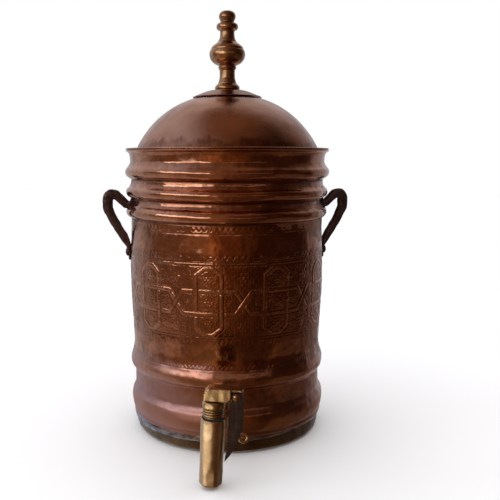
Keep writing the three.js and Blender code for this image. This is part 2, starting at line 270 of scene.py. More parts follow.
# --- the chased ornament ---
ANGLE_PITCH = 37.5  # one cartouche and one crossing of the straps
FIRST_CENTRE = -5.2
SIDE_UNITS = 4  # cartouches on each side of the front one; the brazed seam is behind
DEGREE = 1.808  # millimetres round the wall for one degree
STRAP_EDGE = 2.2
UPPER_STRAP, LOWER_STRAP = 166.5, 144.0
MIDDLE = (UPPER_STRAP + LOWER_STRAP) / 2
DOT_PITCH = 2.6


def near(lines, x, y):
    """Distance from each point to the nearest of several straight lines."""
    best = np.full(x.shape, 99.0)
    for (ax, ay), (bx, by) in lines:
        dx, dy = bx - ax, by - ay
        t = np.clip(((x - ax) * dx + (y - ay) * dy) / (dx * dx + dy * dy), 0, 1)
        best = np.minimum(best, np.hypot(x - ax - t * dx, y - ay - t * dy))
    return best


def path(*points):
    return list(zip(points[:-1], points[1:]))


def line(distance, width=0.5):
    return np.exp(-((distance / width) ** 2))


def strap(distance):
    """Height of a strap: a low flat ridge with a chased line along each edge."""
    ridge = 0.26 * ease(STRAP_EDGE + 0.5, STRAP_EDGE - 0.5, distance)
    return ridge - 0.5 * line(distance - STRAP_EDGE)


def rosette(x, y, size):
    """A small flower: six petals round a boss."""
    angle, radius = np.arctan2(y, x), np.hypot(x, y)
    edge = size * (0.5 + 0.5 * np.abs(np.cos(3 * angle)))
    petals = 0.3 * ease(edge + 0.4, edge - 0.6, radius) - 0.35 * line(radius - edge, 0.55)
    return petals + 0.3 * line(radius, 0.9) - 0.3 * line(radius - size * 0.32, 0.4)


def strapwork(angle, height):
    """Interlaced straps and cartouches of the main band."""
    turn = (angle - FIRST_CENTRE + 180) % 360 - 180
    unit = np.clip(np.round(turn / ANGLE_PITCH), -SIDE_UNITS, SIDE_UNITS)
    x = (turn - unit * ANGLE_PITCH) * DEGREE
    half = ANGLE_PITCH * DEGREE / 2
    inside = np.abs(x) < half
    y = height
    run = 26.2
    far = 2 * half - run
    low, high = LOWER_STRAP, UPPER_STRAP
    level = path((-run, high), (run, high)) + path((-run, low), (run, low))
    rising = path((run, low), (far, high)) + path((-far, low), (-run, high))
    falling = path((run, high), (far, low)) + path((-far, high), (-run, low))
    frame_line = path(
        (-12.6, 130), (-12.6, 182), (-3.8, 189), (3.8, 189), (12.6, 182),
        (12.6, 130), (3.8, 122.9), (-3.8, 122.9), (-12.6, 130),
    )
    rise = near(rising, x, y)
    across = near(level + rising + falling, x, y)
    crossing = (np.abs(y - MIDDLE) < 7.5) & (rise < STRAP_EDGE + 0.7)
    across = np.where(crossing, rise, across)
    upright = near(frame_line, x, y)
    upright_above = x * (y - MIDDLE) < 0
    above = np.where(upright_above, upright, across)
    under = np.where(upright_above, across, upright)
    relief = np.where(above < STRAP_EDGE + 0.7, strap(above), strap(under))
    ground = ease(STRAP_EDGE + 0.4, STRAP_EDGE + 1.6, np.minimum(above, under))
    flowers = 0
    for cx, cy, size in (
        (0, MIDDLE, 5.4), (0, 177.4, 4.6), (0, 134.2, 4.6), (half, 180, 6.2), (-half, 180, 6.2),
        (half, 131, 6.2), (-half, 131, 6.2), (20.4, MIDDLE, 3.8), (-20.4, MIDDLE, 3.8),
    ):
        flowers = flowers + rosette(x - cx, y - cy, size)
    column = (x + 50) / DOT_PITCH
    stagger = np.floor(column) % 2 * DOT_PITCH / 2
    dot_x = (x + 50) % DOT_PITCH - DOT_PITCH / 2
    dot_y = (y + stagger) % DOT_PITCH - DOT_PITCH / 2
    dots = line(np.hypot(dot_x, dot_y), 0.55)
    relief = relief + ground * (flowers * 0.6 - 0.24 * dots)
    return np.where(inside, relief, 0)


def ornament(angle, height):
    """Relief of all the chasing on the barrel, in millimetres out of the wall."""
    def repeated(count):
        """Distance along the wall from the middle of the nearest of so many cells round it."""
        pitch = 360 * DEGREE / count
        return (angle * DEGREE) % pitch - pitch / 2

    relief = np.zeros(angle.shape)
    band = (height > 122.0) & (height < 190.8)
    relief[band] = strapwork(angle[band], height[band])
    for level in (194.6, 191.7, 121.4, 119.0, 222.4, 196.2):
        relief -= 0.36 * line(height - level, 0.5)
    rows = np.zeros(angle.shape)
    s = repeated(108)
    scroll = path((-2.5, 198.2), (-1.2, 197.6), (-0.2, 199), (0.2, 200.4), (1.3, 201.6), (2.5, 200.9))
    rows -= 0.32 * line(near(scroll, s, height), 0.55)
    rows -= 0.2 * line(near(path((-0.9, 201.4), (-0.6, 200.8)), s, height), 0.5)
    s = repeated(120)
    scallop = path(
        (-2.7, 228.6), (-2.2, 226.4), (-1.2, 225), (0, 224.5), (1.2, 225), (2.2, 226.4), (2.7, 228.6)
    )
    rows -= 0.3 * line(near(scallop, s, height), 0.55)
    rows += 0.15 * line(np.hypot(s, height - 227.4), 1.0)
    s = np.abs(repeated(150))
    tooth = ease(-0.3, 0.5, (height - 112.6) / 5.6 * 1.9 - s) * (height < 118.4)
    rows -= 0.25 * tooth * ease(118.6, 117.6, height)
    chevron = near(path((0, 89.2), (1.6, 92.2)), s, height)
    rows -= 0.32 * line(chevron, 0.55)
    rows -= 0.2 * line(height - 87.6, 0.6)
    levels = height[:, 0]
    pressure = 0.65 + 0.5 * wall_noise(17, 11, levels)
    relief += rows * np.clip(pressure, 0.1, 1.25)
    tooling = wall_noise(18, 1.6, levels) * 0.1 + wall_noise(19, 3.2, levels) * 0.06
    relief += tooling * ease(111, 113, height) * ease(204, 202, height)
    return relief


# --- studio ---
def node(tree, kind, inputs=None, **settings):
    """A shader node with its settings, and its inputs as values or as other nodes' outputs."""
    made = tree.nodes.new("ShaderNode" + kind)
    for key, value in settings.items():
        setattr(made, key, value)
    for key, value in (inputs or {}).items():
        if isinstance(value, bpy.types.NodeSocket):
            tree.links.new(value, made.inputs[key])
        else:
            made.inputs[key].default_value = value
    return made


def ramp(tree, factor, stops):
    """A colour ramp with (position, colour) stops."""
    made = node(tree, "ValToRGB", {"Fac": factor})
    elements = made.color_ramp.elements
    while len(elements) < len(stops):
        elements.new(0.5)
    for element, (position, colour) in zip(elements, stops):
        element.position = position
        element.color = (*colour, 1)
    return made.outputs["Color"]


def grey(level):
    return (level, level, level)


def blended(tree, factor, first, second):
    """The first colour turning into the second as the factor goes from 0 to 1."""
    inputs = {"Factor": factor, "A": first, "B": second}
    return node(tree, "Mix", inputs, data_type="RGBA").outputs[2]


def sums(tree, value, times, plus):
    """value * times + plus."""
    return node(tree, "Math", {0: value, 1: times, 2: plus}, operation="MULTIPLY_ADD").outputs[0]


def new_material(name):
    """A material, its node tree, its shader and the coordinates on the piece that has it."""
    material = bpy.data.materials.new(name)
    material.use_nodes = True
    tree = material.node_tree
    place = node(tree, "TexCoord").outputs["Object"]
    return material, tree, tree.nodes["Principled BSDF"], place


CAMERA_TURN = 4.3  # the camera stands a little to the right of the tap
CAMERA_DISTANCE = 0.77
CAMERA_HEIGHT = 0.295
CAMERA_TILT = 7.48
CAMERA_LENS = 50.4
CAMERA_SHIFT = 0.0454


def make_camera():
    data = bpy.data.cameras.new("camera")
    data.sensor_width = 36
    data.lens = CAMERA_LENS
    data.shift_x = CAMERA_SHIFT
    camera = in_scene("camera", data)
    turn = math.radians(CAMERA_TURN)
    out = Vector((math.sin(turn), -math.cos(turn), 0)) * CAMERA_DISTANCE
    camera.location = Vector((AXIS_X * MM, AXIS_Y * MM, CAMERA_HEIGHT)) + out
    camera.rotation_euler = (math.radians(90 - CAMERA_TILT), 0, turn)
    bpy.context.scene.camera = camera


def room_ramp(tree, factor, stops):
    """Colours round the room, each at its direction in degrees; 0 is where the tap points.

    The first, straight behind at -180, comes again at 180.
    """
    stops = stops + [(180, stops[0][1])]
    return ramp(tree, factor, [((degrees + 180) / 360, colour) for degrees, colour in stops])


def make_studio():
    """White walls at the sides and behind, and a dim warm room in front, brighter on the left."""
    world = bpy.data.worlds.new("studio")
    bpy.context.scene.world = world
    world.use_nodes = True
    tree = world.node_tree
    tree.nodes.clear()
    place = node(tree, "TexCoord").outputs["Generated"]
    axes = node(tree, "SeparateXYZ", {"Vector": place}).outputs
    back = sums(tree, axes["Y"], -1.0, 0.0)
    angle = node(tree, "Math", {0: axes["X"], 1: back}, operation="ARCTAN2").outputs[0]
    whole = {"From Min": -math.pi, "From Max": math.pi}
    round_room = node(tree, "MapRange", {"Value": angle, **whole}).outputs[0]
    walls = room_ramp(tree, round_room, [
        (-180, (0.54, 0.58, 0.63)), (-117, (0.42, 0.45, 0.5)), (-96, (0.29, 0.27, 0.27)),
        (-90, (0.17, 0.1, 0.06)), (-45, (0.2, 0.11, 0.06)), (-20, (0.26, 0.13, 0.06)),
        (-13, (0.42, 0.2, 0.085)), (-8, (0.34, 0.15, 0.055)), (-3, (0.17, 0.06, 0.02)),
        (14, (0.12, 0.045, 0.014)), (40, (0.034, 0.012, 0.005)), (104, (0.03, 0.014, 0.01)),
        (114, (0.08, 0.05, 0.045)), (124, (0.2, 0.19, 0.22)), (150, (0.4, 0.43, 0.5)),
    ])
    upper = room_ramp(tree, round_room, [
        (-180, (0.4, 0.37, 0.36)), (-164, (0.64, 0.64, 0.68)), (-140, (0.54, 0.56, 0.62)),
        (-105, (0.46, 0.47, 0.56)), (-70, (0.38, 0.4, 0.5)), (-45, (0.3, 0.24, 0.24)),
        (-10, (0.19, 0.12, 0.08)), (20, (0.075, 0.032, 0.017)), (70, (0.032, 0.014, 0.008)),
        (96, (0.03, 0.013, 0.008)), (112, (0.08, 0.05, 0.035)), (127, (0.16, 0.13, 0.115)),
        (145, (0.34, 0.34, 0.4)), (168, (0.6, 0.62, 0.68)),
    ])
    table = room_ramp(tree, round_room, [
        (-180, (0.5, 0.5, 0.55)), (-130, (0.42, 0.42, 0.46)), (-95, (0.36, 0.32, 0.32)),
        (-64, (0.36, 0.26, 0.21)), (-54, (0.28, 0.19, 0.14)), (-46, (0.19, 0.115, 0.06)),
        (-6, (0.2, 0.12, 0.055)), (10, (0.085, 0.04, 0.018)), (56, (0.042, 0.019, 0.01)),
        (66, (0.1, 0.052, 0.024)), (92, (0.08, 0.05, 0.036)), (118, (0.09, 0.06, 0.05)),
        (150, (0.25, 0.22, 0.22)),
    ])
    up = ramp(tree, axes["Z"], [(0.06, grey(0)), (0.34, grey(1))])
    light = blended(tree, up, walls, upper)
    top = ramp(tree, axes["Z"], [(0.82, grey(0)), (0.97, grey(1))])
    zenith = (0.17, 0.09, 0.05, 1)
    light = blended(tree, top, light, zenith)
    down = sums(tree, axes["Z"], -1.0, 0.0)
    low = ramp(tree, down, [(0.19, grey(0)), (0.29, grey(1))])
    light = blended(tree, low, light, table)
    room = node(tree, "Background", {"Color": light}).outputs[0]
    plain = node(tree, "Background", {"Color": (1, 1, 1, 1)}).outputs[0]
    seen = node(tree, "LightPath").outputs["Is Camera Ray"]
    mixed = node(tree, "MixShader", {0: seen, 1: room, 2: plain}).outputs[0]
    node(tree, "OutputWorld", {"Surface": mixed})


LIGHT_DISTANCE = 1.6


def area_light(name, turn, lift, width, height, power, colour, roll=0):
    """A soft panel aimed at the middle of the urn."""
    data = bpy.data.lights.new(name, "AREA")
    data.shape = "RECTANGLE"
    data.size, data.size_y = width, height
    data.energy = power
    data.color = colour
    lamp = in_scene(name, data)
    a, e = math.radians(turn), math.radians(lift)
    out = Vector((math.sin(a) * math.cos(e), -math.cos(a) * math.cos(e), math.sin(e)))
    lamp.location = Vector((AXIS_X * MM, AXIS_Y * MM, 0.2)) + out * LIGHT_DISTANCE
    lamp.rotation_mode = "QUATERNION"
    lamp.rotation_quaternion = (-out).to_track_quat("-Z", "Y") @ Quaternion((0, 0, 1), math.radians(roll))
    lamp.visible_camera = False
    return lamp


def make_floor_light():
    """A wide soft light from above that brightens the floor evenly; the metal doesn't mirror it."""
    data = bpy.data.lights.new("overhead_light", "SUN")
    data.energy = 3.3
    data.angle = math.radians(140)
    lamp = in_scene("overhead_light", data)
    lamp.rotation_euler = (0, math.radians(-6), 0)
    lamp.visible_glossy = False


def make_floor():
    size = 6000.0
    steps, columns = 24, 96
    angle = all_round(columns)
    radius = np.linspace(0.02, 1, steps)[:, None] ** 1.5 * size
    flat = turned(radius, angle, 0.0).reshape(-1, 3)
    centre = len(flat)
    ring = np.arange(columns)
    fan = np.stack([np.full(columns, centre), ring, np.roll(ring, -1)], -1)
    vertices = np.concatenate([flat, [[0, 0, 0]]])
    floor = mesh_object("floor", vertices, [grid_faces(steps, columns, False), fan])
    floor.location.z = -0.0002
    floor.visible_glossy = False  # the metal mirrors the room, not this floor
    floor.visible_shadow = False
    material, tree, shader, place = new_material("pale_floor")
    mottle = node(tree, "TexNoise", {"Vector": place, "Scale": 3.0}).outputs["Fac"]
    pale = ramp(tree, mottle, [(0.3, (0.8, 0.81, 0.82)), (0.7, (0.82, 0.83, 0.84))])
    tree.links.new(pale, shader.inputs["Base Color"])
    shader.inputs["Roughness"].default_value = 0.9
    floor.data.materials.append(material)


# --- materials ---
LEFT_LIT_BLOOM_PINK = (0.58, 0.35, 0.33, 1)  # the pinkish bloom on the lower part of the vessel, made stronger on the left side by painted light


def worn_metal(
    name, bright, dark, stain, patch, gloss, bump=0.12, stained=0.5, metallic=1.0, stretch=(1, 1, 1)
):
    """Aged metal: bright and dark patches, stains and fine scratches.

    Four values on a mesh's points change it: cut (dark in chased lines; painted shade in the creases), tarnish
    (browner), the pink bloom (duller; on the vessel it also carries painted light from the left) and rub (polished
    by hands).
    gloss is its lowest and highest roughness.
    """
    material, tree, shader, place = new_material(name)
    shader.inputs["Metallic"].default_value = metallic
    scaled = node(tree, "Mapping", {"Vector": place, "Scale": stretch}).outputs[0]
    per_metre = 1 / (patch * MM)

    def noise(scale, **inputs):
        inputs = {key.capitalize(): value for key, value in inputs.items()}
        return node(tree, "TexNoise", {"Vector": scaled, "Scale": scale, **inputs}).outputs["Fac"]

    large = noise(per_metre, detail=6.0, roughness=0.6)
    small = noise(per_metre * 7, detail=5.0, roughness=0.65, distortion=0.6)
    base = ramp(tree, large, [(0.3, dark), (0.68, bright)])
    spots = ramp(tree, small, [(0.42, grey(0)), (0.75, grey(stained))])
    base = blended(tree, spots, base, (*stain, 1))
    # Dark fill for the cut value: dirt in the chased lines, and painted shade where it marks the creases.
    groove_dirt_and_shade = (dark[0] * 0.25, dark[1] * 0.22, dark[2] * 0.22, 1)
    brown = (dark[0] * 0.5, dark[1] * 0.45, dark[2] * 0.5, 1)
    marks = {}
    for mark, colour in (("cut", groove_dirt_and_shade), ("tarnish", brown), ("haze", LEFT_LIT_BLOOM_PINK), ("rub", (*bright, 1))):
        marks[mark] = node(tree, "Attribute", attribute_name=mark).outputs["Fac"]
        base = blended(tree, marks[mark], base, colour)
    tree.links.new(base, shader.inputs["Base Color"])
    smear = noise(per_metre * 2.3, detail=4.0)
    reach = {"From Min": 0.3, "From Max": 0.7, "To Min": gloss[0], "To Max": gloss[1]}
    rough = node(tree, "MapRange", {"Value": smear, **reach}).outputs[0]
    duller = sums(tree, marks["haze"], 0.32, sums(tree, marks["cut"], 0.3, rough))
    tree.links.new(duller, shader.inputs["Roughness"])
    grain = noise(900.0, detail=4.0, roughness=0.7)
    pits = noise(220.0, detail=3.0)
    height = sums(tree, grain, 0.4, pits)
    raised = node(tree, "Bump", {"Height": height, "Strength": bump, "Distance": 0.0006})
    tree.links.new(raised.outputs[0], shader.inputs["Normal"])
    return material


def make_rubber(name):
    material, tree, shader, place = new_material(name)
    dust = node(tree, "TexNoise", {"Vector": place, "Scale": 300.0, "Detail": 4.0}).outputs["Fac"]
    colour = ramp(tree, dust, [(0.35, (0.012, 0.011, 0.01)), (0.75, (0.05, 0.045, 0.04))])
    tree.links.new(colour, shader.inputs["Base Color"])
    shader.inputs["Roughness"].default_value = 0.8
    shader.inputs["Specular IOR Level"].default_value = 0.1
    raised = node(tree, "Bump", {"Height": dust, "Strength": 0.2, "Distance": 0.0005}).outputs[0]
    tree.links.new(raised, shader.inputs["Normal"])
    return material


copper = worn_metal(
    "hammered_copper", bright=(0.78, 0.4, 0.25), dark=(0.44, 0.19, 0.1), stain=(0.28, 0.1, 0.05),
    patch=24, gloss=(0.07, 0.17), bump=0.025, stained=0.6,
)
inner_copper = worn_metal(
    "inside_copper", bright=(0.66, 0.36, 0.24), dark=(0.42, 0.2, 0.12), stain=(0.25, 0.12, 0.08),
    patch=22, gloss=(0.3, 0.5), bump=0.05,
)
lid_copper = worn_metal(
    "dull_lid_copper", bright=(0.65, 0.34, 0.22), dark=(0.47, 0.21, 0.12), stain=(0.49, 0.31, 0.24),
    patch=34, gloss=(0.17, 0.3), bump=0.03, stained=0.4,
)
pan_metal = worn_metal(
    "dull_tinned_base", bright=(0.36, 0.28, 0.19), dark=(0.17, 0.13, 0.085), stain=(0.09, 0.065, 0.05),
    patch=20, gloss=(0.26, 0.42), stained=0.7,
)
solder_metal = worn_metal(
    "tin_solder", bright=(0.8, 0.84, 0.95), dark=(0.06, 0.06, 0.09), stain=(0.1, 0.07, 0.08),
    patch=16, gloss=(0.16, 0.34), bump=0.25, stained=0.8, stretch=(1, 1, 3.2),
)
brass = worn_metal(
    "worn_brass", bright=(0.76, 0.49, 0.28), dark=(0.38, 0.2, 0.09), stain=(0.2, 0.09, 0.04),
    patch=12, gloss=(0.14, 0.3), bump=0.04,
)
# Paler than the other brass: partly rubbed metal, partly painted light for the brightly lit nozzle.
pale_brass = worn_metal(
    "rubbed_and_lit_brass", bright=(0.86, 0.66, 0.42), dark=(0.66, 0.46, 0.25), stain=(0.42, 0.26, 0.12),
    patch=16, gloss=(0.26, 0.38), bump=0.04, stained=0.35,
)
block_brass = worn_metal(
    "yellow_brass", bright=(0.76, 0.57, 0.31), dark=(0.52, 0.35, 0.17), stain=(0.34, 0.19, 0.09),
    patch=10, gloss=(0.22, 0.36), bump=0.05, stained=0.4,
)
iron = worn_metal(
    "forged_iron", bright=(0.15, 0.105, 0.1), dark=(0.035, 0.018, 0.017), stain=(0.1, 0.045, 0.035),
    patch=10, gloss=(0.2, 0.38), bump=0.15, metallic=0.85,
)
# Darker than the ears' iron: painted shade, as the lever's face is out of the light.
lever_iron = worn_metal(
    "shaded_lever_iron", bright=(0.055, 0.032, 0.022), dark=(0.022, 0.011, 0.008),
    stain=(0.085, 0.045, 0.025), patch=8, gloss=(0.3, 0.5), bump=0.15, metallic=0.6,
)
rubber = make_rubber("aged_rubber")


# --- vessel ---
# Outside of the wall from the foot to the lip, as (height, radius).
WALL_KNOTS = [
    # foot and lowest rib
    (17.6, 102.2), (19, 103.3), (20.4, 104.35), (21.4, 104.45), (22.6, 104.1), (23.8, 104.4), (26, 105.5),
    (33.5, 106.69), (41, 105.73), (46, 103.16), (49.5, 102.15), (58, 102.15), (66.5, 102.26),
    # second rib and barrel
    (68.5, 103.2), (71, 105.2), (73.6, 106.35), (77.4, 106.75), (79.5, 106.45), (82, 105.7), (85, 104.65),
    (88, 103.9), (91.5, 103.35), (95, 102.9), (98, 102.75), (102, 102.9), (125, 104), (150, 105.1),
    (178, 105.6), (200, 105.25), (214, 104.6), (226, 104.05), (230.4, 103.85), (231.2, 103.6),
    # the three upper ribs, each with a sharp inner corner below it
    (232, 104.71), (233.4, 107.13), (235.6, 108.89), (238.2, 109.44), (240.6, 108.89), (243, 106.91),
    (245.6, 104.38), (248.4, 102.95), (250.4, 102.55), (251.4, 102.15),
    (252.2, 103.35), (253.4, 105.81), (255.2, 108.23), (257.2, 109.44), (259.6, 109.83), (261.8, 109.22),
    (264, 107.13), (266, 105.48), (268.4, 104.6), (271.2, 104.27), (272.1, 103.85),
    (272.9, 104.93), (274.1, 106.69), (276, 109.11), (278, 110.32), (280.6, 110.81), (283.2, 109.99),
    (286, 107.79),
    # neck and lip
    (289, 106.05), (291.4, 105.3), (294.4, 105.42), (297.8, 105.8), (300, 106.6), (301.6, 108.23),
    (302.3, 109.44),
]
CREASES = (272.0, 251.4, 231.0)  # the sharp inner corners under the upper ribs, darkened with painted shade
LEAN = -0.8  # the hand-raised barrel stands a little to the left of its own rims
SHEET = 1.2


def wall_rows():
    """Heights of the rows of the wall: close together where it's chased or ribbed."""
    spans = [
        (17.8, 84, 1.2), (84, 94.2, 0.6), (94.2, 111.6, 1.2), (111.6, 204, 0.6), (204, 222, 1.0),
        (222, 302.2, 0.7),
    ]
    return np.concatenate([np.arange(a, b - 0.3, s) for a, b, s in spans] + [[302.3]])


def body_piece():
    """The wall with its dents and chasing, and its inside, as one closed skin."""
    angle = np.linspace(-180, 180, COLUMNS, endpoint=False)
    height = wall_rows()
    rows = len(height)
    around, up = np.meshgrid(angle, height)
    turn = np.radians(angle)
    waver = 0.35 * np.sin(2 * turn + 0.6) + 0.22 * np.sin(5 * turn + 1.9) + 0.12 * np.sin(9 * turn)
    shift = waver[None] * ease(22, 34, up) * ease(301, 292, up)
    radius = curve_through(WALL_KNOTS, (up + shift).ravel()).reshape(up.shape)
    calm = ease(17, 30, up) * ease(302, 290, up)
    dents = wall_noise(11, 24, height) * 0.3 + wall_noise(12, 9, height) * 0.14
    beats = wall_noise(13, 4.2, height) * 0.045
    round_error = 0.35 * np.sin(2 * turn + 2.1) + 0.2 * np.sin(3 * turn + 0.4)
    relief = ornament(around, up)
    notches = waist_notches(around, up)
    radius = radius + calm * (dents + beats + round_error[None]) + relief + notches
    lean = LEAN * ease(30, 110, up) * ease(290, 230, up)
    outside = turned(radius, turn, up)
    outside[..., 0] += lean
    lip = [(109.8, 302.9), (110, 303.3), (109.8, 303.6), (109.1, 303.6), (107.6, 302.7), (106.2, 301.6)]
    inner_height = np.concatenate([
        np.arange(299.5, 232, -3.0), np.arange(232, 98, -12), np.arange(96, 18, -4.0), [17.8]
    ])
    inner = np.stack([curve_through(WALL_KNOTS, inner_height) - SHEET, inner_height], -1)
    rest = np.concatenate([lip, inner])
    points = np.concatenate([outside, turned(rest[:, :1], turn, rest[:, 1:])])
    shell = moved(grid_shell(points), at_axis())
    hollow = np.clip(-(relief + notches) / 0.42, 0, 1)
    # Painted shade: a dark line in each crease under an upper rib.
    crease = sum(line(up + shift - level, 1.3) for level in CREASES)
    crest = ease(104.9, 108.6, radius) * ease(225, 232, up)
    crest = crest + ease(104.4, 105.8, radius) * ease(110, 96, up)
    in_band = ease(111, 113, up) * ease(205, 203, up)
    ground = in_band * (1 - np.clip(relief * 4, 0, 1)) * 0.38
    patches = ease(0.26, 0.36, wall_noise(14, 26, height)) * 0.3
    patches = patches + ease(0.35, 0.55, wall_noise(20, 6, height)) * 0.25
    low = ease(98, 88, up + wall_noise(15, 14, height) * 4)
    spread = ease(-0.6, 0.6, wall_noise(16, 20, height))
    # Painted light: the pink bloom is made stronger on the side that faces the light on the left.
    painted_left_light = 0.35 + 0.65 * ease(40, -5, np.abs(around + 60) - 40)
    bloom = 0.5 * ease(66, 52, up)
    haze = np.clip(low * (0.4 + 0.3 * spread) + bloom + (1 - low) * 0.08 * spread, 0, 1)
    marks = {
        # The hollow term is dirt in the chasing; the crease term is painted shade.
        "cut": np.clip(hollow * 0.3 + crease * 0.8, 0, 1),
        "rub": np.clip(crest * 0.35 + np.clip(relief, 0, 0.5) * 0.5, 0, 1) * (1 - hollow),
        "tarnish": np.maximum(ground, patches * (1 - in_band)),
        # The pink bloom is partly a real dull bloom and partly painted light from the left.
        "haze": haze * painted_left_light,
    }
    unmarked = np.zeros(len(rest) * COLUMNS)
    marks = {key: np.concatenate([values.ravel(), unmarked]) for key, values in marks.items()}
    made = piece("urn_body", shell, "vessel", copper, ["body_shell"], marks)
    made.data.materials.append(inner_copper)
    second = np.zeros(len(made.data.polygons), np.int32)
    second[(rows + 4) * COLUMNS:] = 1  # from just over the lip, all the way down inside
    made.data.polygons.foreach_set("material_index", second)


def waist_notches(angle, height):
    """Three groups of short wedge punches in each waist between the upper ribs."""
    relief = np.zeros(angle.shape)
    for level, first in ((268.6, 36), (247.4, 35)):
        for group in (0, 122, 236):
            local = (angle - first - group) % 360
            within = local < 21
            s = (local % 1.55 - 0.775) * DEGREE
            wedge = near(path((-0.5, level - 1.9), (0.4, level + 1.9)), s, height)
            relief -= np.where(within, 0.5 * line(wedge, 0.55), 0)
    return relief


def base_pieces():
    corner = [(93.5, 0)]
    for step in range(1, 8):
        t = math.radians(90 * step / 7)
        corner.append((94.0 + 6.4 * math.sin(t), 6.4 * (1 - math.cos(t))))
    outside = [(0, 0.6), (60, 0.5), (88, 0.3)] + corner + [(101.2, 12), (101.8, 17.4), (101.2, 18.3)]
    inside = [
        (99.6, 18.4), (99.4, 26.2), (98.4, 26.4), (98.2, 8), (96, 3), (92, 1.7), (60, 1.6), (0, 1.7)
    ]
    section = dense(rounded(outside + inside, 0.5, 3, closed=False), 3)
    columns = 400
    shell = revolved(section[1:-1], columns, closed=False, wobble=0.25, seed=5)
    points = shell[0]
    angle = np.arctan2(points[:, 0], -points[:, 1])
    side = ease(85, 99, np.hypot(points[:, 0], points[:, 1])) * ease(0.5, 5, points[:, 2])
    beat = 0
    draw = np.random.default_rng(21)
    for wave in (7, 11, 17, 23, 31, 43):
        phase = draw.uniform(0, 6)
        skew = draw.uniform(-0.25, 0.25)
        beat = beat + np.sin(wave * angle + phase + points[:, 2] * skew) / 6
    points[:, :2] *= (1 + beat * side * 0.006)[:, None]
    shell = moved(shell, at_axis())
    piece("urn_base", shell, "vessel", pan_metal, ["base_pan"])
    angle = all_round(720)
    draw = np.random.default_rng(22)
    lump = 0
    for wave in (3, 5, 8, 13, 19, 27, 41, 58, 77):
        lump = lump + np.sin(wave * angle + draw.uniform(0, 6)) / math.sqrt(wave)
    lump = lump / 1.6
    rows = []
    for t in all_round(14):
        heavy = np.clip(0.5 - 0.75 * np.sin(angle - 0.2), 0, 1)  # more solder was run in on the left
        swell = 1.35 + 0.35 * lump + 0.75 * heavy
        high = 1.9 + 0.6 * np.roll(lump, 40) + 3.2 * heavy
        middle = 18.2 + 0.5 * np.roll(lump, 90) - 1.0 * heavy
        rows.append(np.stack([101.9 + swell * np.cos(t), middle + high * np.sin(t)], -1))
    bead = np.stack(rows)
    shell = moved(grid_shell(turned(bead[..., 0], angle, bead[..., 1])), at_axis())
    piece("solder_bead", shell, "vessel", solder_metal, ["base_solder"])


# --- lid ---
DOME_RADIUS, DOME_OFFSET, DOME_HEIGHT = 99.6, 7.56, 263.0


